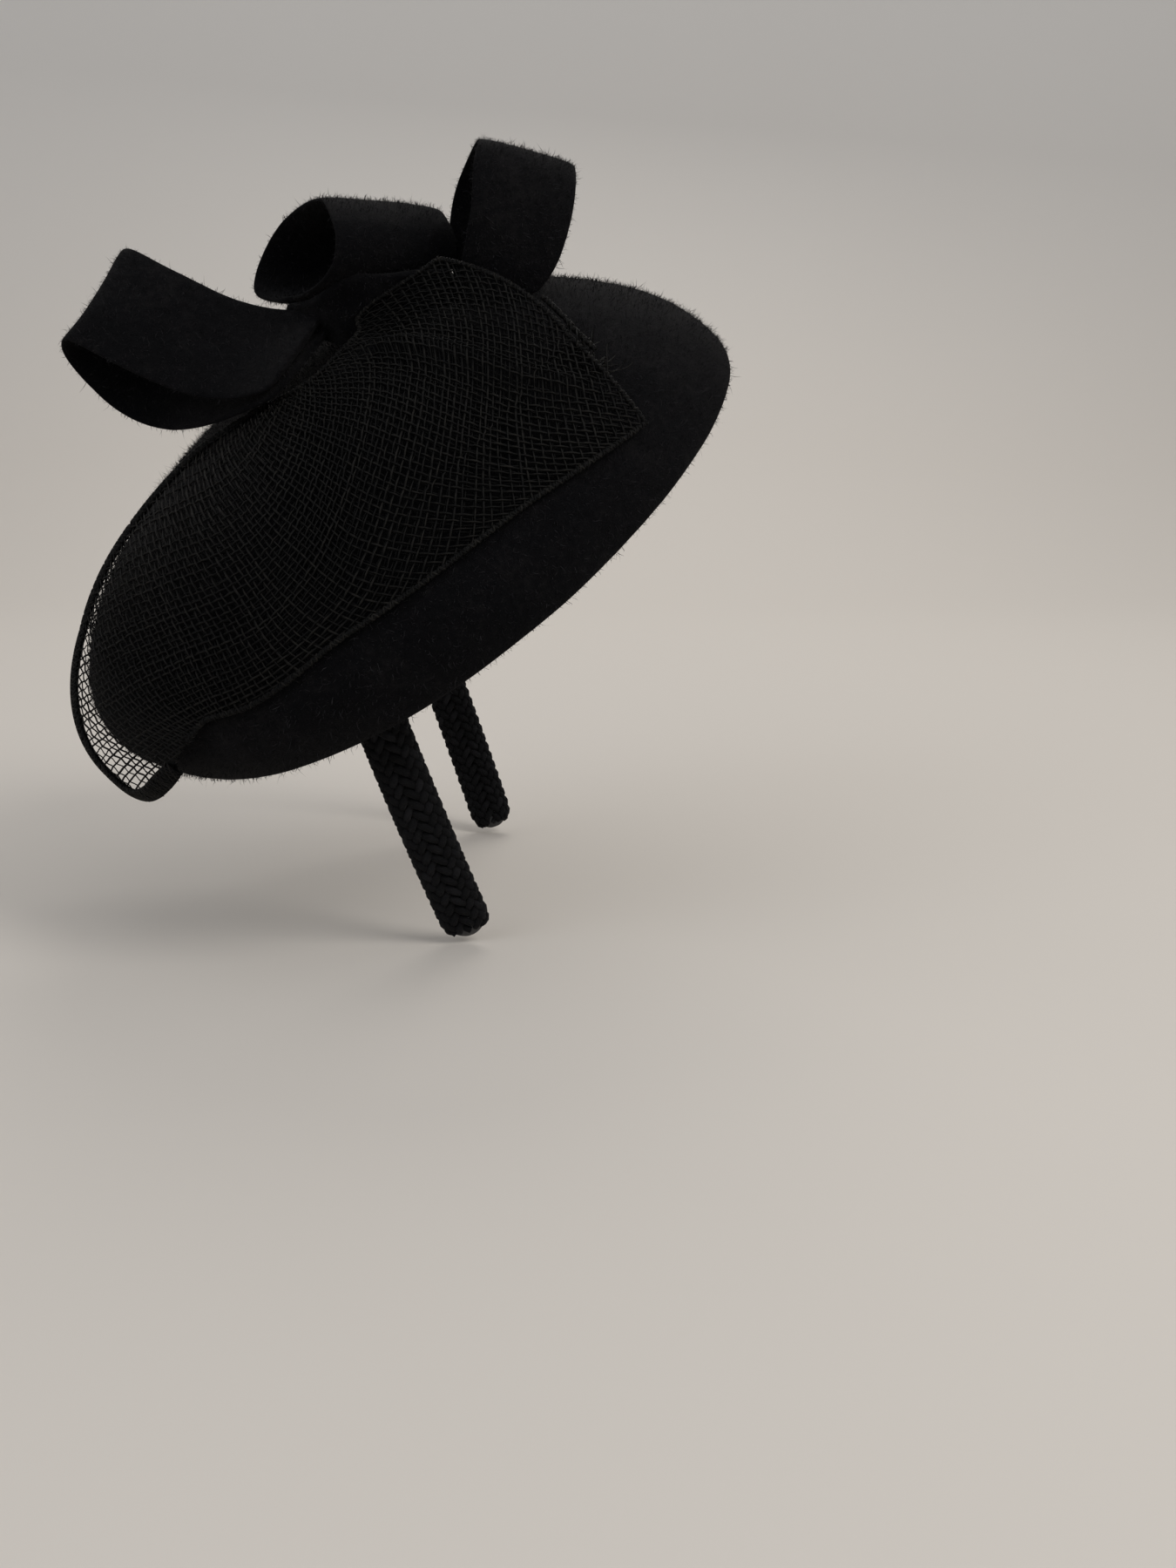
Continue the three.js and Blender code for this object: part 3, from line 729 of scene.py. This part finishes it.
def rolled_edge(core, wraps, along, across, inset, half_wide, half_thick, pitch, raised):
    """An edge of the cloth rolled over on itself, with its threads wound round the roll both ways."""
    edge, outward = cloth_at(along, across, raised)
    if np.ptp(along) > 0:
        inner, _ = cloth_at(along, np.where(across > 0.5, across - 0.02, across + 0.02), raised)
    else:
        inner, _ = cloth_at(along + 0.01, across, raised)
    inward = inner - edge
    inward /= np.linalg.norm(inward, axis=1, keepdims=True)
    widths = np.broadcast_to(np.asarray(half_wide, float), along.shape)
    insets = np.broadcast_to(np.asarray(inset, float), along.shape)
    line = edge + inward * insets[:, None] * MM
    lengths = run_length(line) / MM
    together = evenly(np.concatenate([line, outward, widths[:, None]], 1), lengths, 0.8)
    line, outward, widths = together[:, :3], together[:, 3:6], together[:, 6]
    lengths = run_length(line) / MM
    ripple = 1 + 0.07 * np.sin(lengths * 2 * np.pi / 3.1) + 0.05 * chance.normal(size=len(lengths))
    core.add(line, outward, widths * ripple * MM, half_thick * ripple * MM, 0.4)
    ahead = np.gradient(line, axis=0)
    ahead /= np.linalg.norm(ahead, axis=1, keepdims=True)
    side = np.cross(ahead, outward)
    side /= np.linalg.norm(side, axis=1, keepdims=True)
    turns = np.linspace(0, 1, 15)
    for way in (1, -1):
        for start in np.arange(-4, lengths[-1], pitch):
            reach = 2.2 * (np.interp(start, lengths, widths) + half_thick)
            run = start + chance.normal() * 0.25 + turns * reach
            kept = (run >= 0) & (run <= lengths[-1])
            if kept.sum() < 3:
                continue
            run = run[kept]
            angle = way * 2 * np.pi * turns[kept]
            at = np.stack([np.interp(run, lengths, line[:, k]) for k in range(3)], -1)
            out = np.stack([np.interp(run, lengths, outward[:, k]) for k in range(3)], -1)
            across_way = np.stack([np.interp(run, lengths, side[:, k]) for k in range(3)], -1)
            wide = (np.interp(run, lengths, widths) + WRAP_STANDS_OFF) * MM
            thick = (half_thick + WRAP_STANDS_OFF) * MM
            coil = at + across_way * (wide * np.cos(angle))[:, None]
            coil = coil + out * (thick * np.sin(angle))[:, None]
            coil_out = across_way * np.cos(angle)[:, None] + out * np.sin(angle)[:, None]
            tone = 0.2 + 0.8 * chance.random() ** 1.6
            wraps.add(coil, coil_out, WRAP_HALF_WIDE * MM, WRAP_HALF_THICK * MM, tone)


def loose_threads(tubes):
    """Frayed ends: a curly tuft by the front edge, and a few strays."""
    tuft = [(0.0, 0.26 + 0.15 * chance.random(), TUFT_LENGTH) for _ in range(TUFT_THREADS)]
    for along, across, longest in tuft + STRAY_THREADS:
        sunk = 0.6 + 2.0 * chance.random() * (along == 0)
        spot, outward = cloth_at(np.array([along]), np.array([across]), -sunk)
        inner_along = along + 0.02 if along < 0.5 else along
        inner_across = across if along < 0.2 else min(max(across, 0.05), 0.93)
        inner, _ = cloth_at(np.array([inner_along]), np.array([inner_across]), 0.0)
        away = spot[0] - inner[0]
        away -= outward[0] * (away @ outward[0])
        away /= np.linalg.norm(away)
        long = longest * (0.35 + 0.65 * chance.random()) * MM
        bend = chance.normal(size=3)
        heading = away * 0.75 + chance.normal(size=3) * 0.45 - outward[0] * 0.15
        share = np.linspace(0, 1, FRAYED_POINTS)[:, None]
        curl = np.sin(share * (2 + 4 * chance.random())) * bend * long * 0.4
        line = spot[0] - away * MM + heading * long * share + curl
        tone = 0.1 + 0.9 * chance.random() ** 1.5
        out = np.repeat(outward, FRAYED_POINTS, 0)
        tubes.add(line, out, FRAYED_HALF_WIDE * MM, FRAYED_HALF_THICK * MM, tone)


# Braided band


def band_line():
    """Middle line of the band, in millimetres from the head seat, with the way out from the head."""
    seat = -BAND_THICK / 2
    arm = np.linspace(1, 0, 40)
    angle = np.pi * np.linspace(0.5, -0.5, 160)
    out = np.concatenate([BAND_HALF_SPAN - BAND_TUCK * arm**2, BAND_HALF_SPAN * np.sin(angle[1:-1])])
    out = np.concatenate([out, -(BAND_HALF_SPAN - BAND_TUCK * arm[::-1] ** 2)])
    straight = seat + BAND_ARCH + (BAND_HEIGHT - BAND_ARCH) * arm
    down = np.concatenate([straight, seat + BAND_ARCH * (1 - np.cos(angle[1:-1])), straight[::-1]])
    flat = np.stack([np.zeros_like(out), out, -down], -1)
    flat = evenly(flat, run_length(flat), 0.5)
    ahead = np.gradient(flat, axis=0)
    ahead /= np.linalg.norm(ahead, axis=1, keepdims=True)
    outward = np.cross(np.array([1.0, 0, 0]), ahead)
    if outward[len(outward) // 2, 2] < 0:
        outward = -outward
    lean = -math.radians(BAND_LEAN)
    turn = np.array([[math.cos(lean), 0, math.sin(lean)], [0, 1, 0], [-math.sin(lean), 0, math.cos(lean)]])
    return flat @ turn.T, outward @ turn.T, turn @ np.array([1.0, 0, 0])


def braided_band(core, strands):
    """A round plait of strands, each over two and under two, flat over the core and round its ends."""
    line, outward, wide_way = band_line()
    lengths = run_length(line)
    total = lengths[-1]
    ring_wide = BAND_WIDTH / 2 - STRAND_CLIMB - STRAND_HALF_THICK + 0.1
    ring_thick = BAND_THICK / 2 - STRAND_CLIMB - STRAND_HALF_THICK + 0.35
    core.add(line * MM, outward, (ring_wide - 0.15) * MM, (ring_thick - 0.15) * MM, 0.05)
    past = 0.8 * TIP_LENGTH
    run = np.arange(-past, total + past, 0.9)
    beyond = np.maximum(np.maximum(-run, run - total), 0)
    rounding = np.sqrt(1 - (beyond / (1.06 * TIP_LENGTH)) ** 2)
    inside = np.clip(run, 0, total)
    at = np.stack([np.interp(inside, lengths, line[:, k]) for k in range(3)], -1)
    ahead = np.gradient(line, axis=0) / np.gradient(lengths)[:, None]
    way_on = np.stack([np.interp(inside, lengths, ahead[:, k]) for k in range(3)], -1)
    at = at + way_on * (run - inside)[:, None]
    out = np.stack([np.interp(inside, lengths, outward[:, k]) for k in range(3)], -1)
    for way in (1, -1):
        for strand in range(STRANDS_EACH_WAY):
            angle = 2 * np.pi * (strand / STRANDS_EACH_WAY + way * run / STRAND_LAY)
            count = 2 * strand + way * 2 * STRANDS_EACH_WAY * run / STRAND_LAY
            over = way * np.cos(2 * np.pi * (count - 0.5) / 4)
            cosine, sine = np.cos(angle), np.sin(angle)
            flat_cos = np.sign(cosine) * np.abs(cosine) ** 0.8
            flat_sin = np.sign(sine) * np.abs(sine) ** 0.8
            normal = wide_way * (cosine / ring_wide)[:, None] + out * (sine / ring_thick)[:, None]
            normal /= np.linalg.norm(normal, axis=1, keepdims=True)
            spot = at + wide_way * (flat_cos * ring_wide * rounding)[:, None]
            spot = spot + out * (flat_sin * ring_thick * rounding)[:, None]
            spot = spot + normal * (STRAND_CLIMB * over)[:, None]
            # Strands are painted lighter where they pass over and darker where they dip under: painted
            # highlight and painted shade, with random tone on top
            tone = 0.35 + 0.22 * over + 0.18 * chance.normal() + 0.1 * chance.normal(size=len(run))
            swell = (1 + 0.16 * over) * (0.55 + 0.45 * rounding)
            half_wide = STRAND_HALF_WIDE * swell * (1 + 0.06 * chance.normal(size=len(run)))
            half_thick = STRAND_HALF_THICK * swell
            strands.add(spot * MM, normal, half_wide * MM, half_thick * MM, np.clip(tone, 0, 1))


# Make the pieces

FELT = felt_finish()
FUZZ = fuzz_finish()
SINAMAY = sinamay_finish()
HEM = hem_finish()
YARN = yarn_finish()
TIP = tip_finish()

crown = smooth_copy("felt_crown", "blocked_crown", 2)
uneven(crown, 0.022, 0.0005)
finish_piece(crown, FELT, "felt_crown")
fuzz(crown, CROWN_FIBRES, CROWN_FIBRE, RIM_CENTRE)

STRIP_LENGTHS = {"loop_rear": 0.128, "loop_middle": 0.110, "loop_front": 0.096}
for node, length in STRIP_LENGTHS.items():
    loop = smooth_copy(node, node.replace("loop", "felt_loop"), 3)
    if node == "loop_rear":
        dent(loop)
    uneven(loop, 0.014, 0.0004)
    finish_piece(loop, FELT, node)
    fuzz(loop, LOOP_FIBRES, LOOP_FIBRE)

knot = felt_knot()
finish_piece(knot, FELT)
fuzz(knot, KNOT_FIBRES, KNOT_FIBRE)

outer_threads = Tubes(5)
weave(outer_threads, raised=0.25, shift=0.0, skew=0.0, last_along=1.0, painted_shade_scale=1.0)
# The inner layer is drawn at under half the outer layer's tone: painted shade where it lies under the outer
# layer
inner_threads = Tubes(4)
weave(inner_threads, raised=-0.35, shift=0.5, skew=0.045, last_along=0.74, painted_shade_scale=0.45)
roll_core = Tubes(8)
roll_wraps = Tubes(5)
hem_along = np.linspace(0.52, 1, 130)
hem_half = np.interp(hem_along, HEM_PLACES, HEM_HALF_WIDTHS)
rolled_edges = [
    # along, across, inset, half_wide, half_thick, pitch, raised
    # Low edge, front edge, pinched edge, hem, second front edge
    (np.linspace(0, 0.99, 120), np.zeros(120), 0.4, 0.52, 0.38, 1.3, 0.3),
    (np.zeros(90), np.linspace(0, 1, 90), 0.35, 0.45, 0.35, 1.3, 0.3),
    (np.linspace(0, 0.52, 90), np.ones(90), 0.35, 0.45, 0.35, 1.4, 0.3),
    (hem_along, np.ones(130), hem_half, hem_half, 0.7, 1.1, 0.3),
    (np.zeros(60), np.linspace(0.33, 0.62, 60), -3.2, 0.55, 0.42, 1.1, -0.9),
]
for edge_sizes in rolled_edges:
    rolled_edge(roll_core, roll_wraps, *edge_sizes)
strays = Tubes(4)
loose_threads(strays)

drape = finish_piece(outer_threads.piece("sinamay_outer_weave"), SINAMAY, "sinamay_drape")
lining = finish_piece(inner_threads.piece("sinamay_inner_weave"), SINAMAY)
rolls = finish_piece(roll_core.piece("sinamay_rolled_edges"), HEM)
wraps = finish_piece(roll_wraps.piece("sinamay_edge_threads"), SINAMAY)
frayed = finish_piece(strays.piece("sinamay_loose_threads"), SINAMAY)

band_core = Tubes(16)
band_strands = Tubes(6)
braided_band(band_core, band_strands)
finish_piece(band_core.piece("band_core"), YARN)
finish_piece(band_strands.piece("plaited_band"), YARN, "headband")
for side in ("left", "right"):
    tip = smooth_copy("band_tip_" + side, "smooth_tip_" + side, 2)
    only_selected(tip)
    bpy.ops.object.shade_smooth()
    finish_piece(tip, TIP, "band_tip_" + side)


# Floor, light and camera


def sweep_finish():
    """Cream floor that turns into a grey-white wall."""
    sweep = Finish("pale_sweep", Roughness=0.9, Specular_IOR_Level=0.1)
    height = sweep.node("ShaderNodeSeparateXYZ", None, {"Vector": sweep.place()}, 2)
    patchy = sweep.noise(3.0)
    colour = sweep.ramp(height * 0.8 + patchy * 0.06, (0.0, (0.61, 0.575, 0.53)), (0.5, (0.71, 0.70, 0.68)))
    return sweep.surface(Base_Color=colour)


def stage():
    nothing_selected()
    bpy.ops.mesh.primitive_plane_add(size=1, location=(0, 0, 0))
    floor = bpy.context.object
    floor.name = "floor"
    bpy.ops.object.mode_set(mode="EDIT")
    bpy.ops.mesh.select_all(action="SELECT")
    bpy.ops.transform.resize(value=FLOOR_SIZE)
    bpy.ops.transform.translate(value=(0, FLOOR_FORWARD, cad_box[0][2] - FLOOR_GAP))
    bpy.ops.mesh.select_all(action="DESELECT")
    bpy.ops.object.mode_set(mode="OBJECT")
    back = max(v.co.y for v in floor.data.vertices)
    for edge in floor.data.edges:
        edge.select = all(floor.data.vertices[i].co.y > back - NEAR_EDGE for i in edge.vertices)
    for vertex in floor.data.vertices:
        vertex.select = vertex.co.y > back - NEAR_EDGE
    bpy.ops.object.mode_set(mode="EDIT")
    bpy.ops.mesh.select_mode(type="EDGE")
    bpy.ops.mesh.extrude_region_move(TRANSFORM_OT_translate={"value": (0, 0, WALL_HEIGHT)})
    bpy.ops.object.mode_set(mode="OBJECT")
    low = min(v.co.z for v in floor.data.vertices)
    for edge in floor.data.edges:
        ends = [floor.data.vertices[i].co for i in edge.vertices]
        edge.select = all(p.y > back - NEAR_EDGE and p.z < low + NEAR_EDGE for p in ends)
    bpy.ops.object.mode_set(mode="EDIT")
    bpy.ops.mesh.bevel(offset=SWEEP_RADIUS, segments=16, affect="EDGES")
    bpy.ops.object.mode_set(mode="OBJECT")
    bpy.ops.object.shade_smooth()
    floor.data.materials.append(sweep_finish())


def soft_light(name, place, aim, size, watts, colour):
    nothing_selected()
    bpy.ops.object.light_add(type="AREA", location=place)
    lamp = bpy.context.object
    lamp.name = name
    lamp.data.shape = "DISK"
    lamp.data.size = size
    lamp.data.energy = watts
    lamp.data.color = colour
    lamp.rotation_euler = (Vector(aim) - Vector(place)).to_track_quat("-Z", "Y").to_euler()


stage()
soft_light("window", (0.75, -0.55, 0.75), (0.02, -0.02, -0.03), 0.6, 5.4, (1.0, 0.97, 0.93))
soft_light("sky_fill", (-0.7, -0.8, 0.55), (0.0, 0.0, -0.03), 0.9, 2.0, (0.84, 0.91, 1.0))
soft_light("rim_light", (0.1, 0.85, 0.8), (0.0, 0.0, 0.0), 0.7, 4.0, (1.0, 0.97, 0.93))

world = bpy.data.worlds.new("room")
bpy.context.scene.world = world
world.use_nodes = True
room = next(n for n in world.node_tree.nodes if n.type == "BACKGROUND")
room.inputs["Color"].default_value = (0.98, 0.98, 1.0, 1)
room.inputs["Strength"].default_value = 0.52

nothing_selected()
bpy.ops.object.camera_add(location=CAMERA_PLACE, rotation=(math.radians(CAMERA_TILT), 0, 0))
camera = bpy.context.object
camera.name = "camera"
camera.data.lens = 40
camera.data.sensor_width = 36
camera.data.clip_start = 0.01
bpy.context.scene.camera = camera
bpy.context.scene.view_settings.view_transform = "Standard"
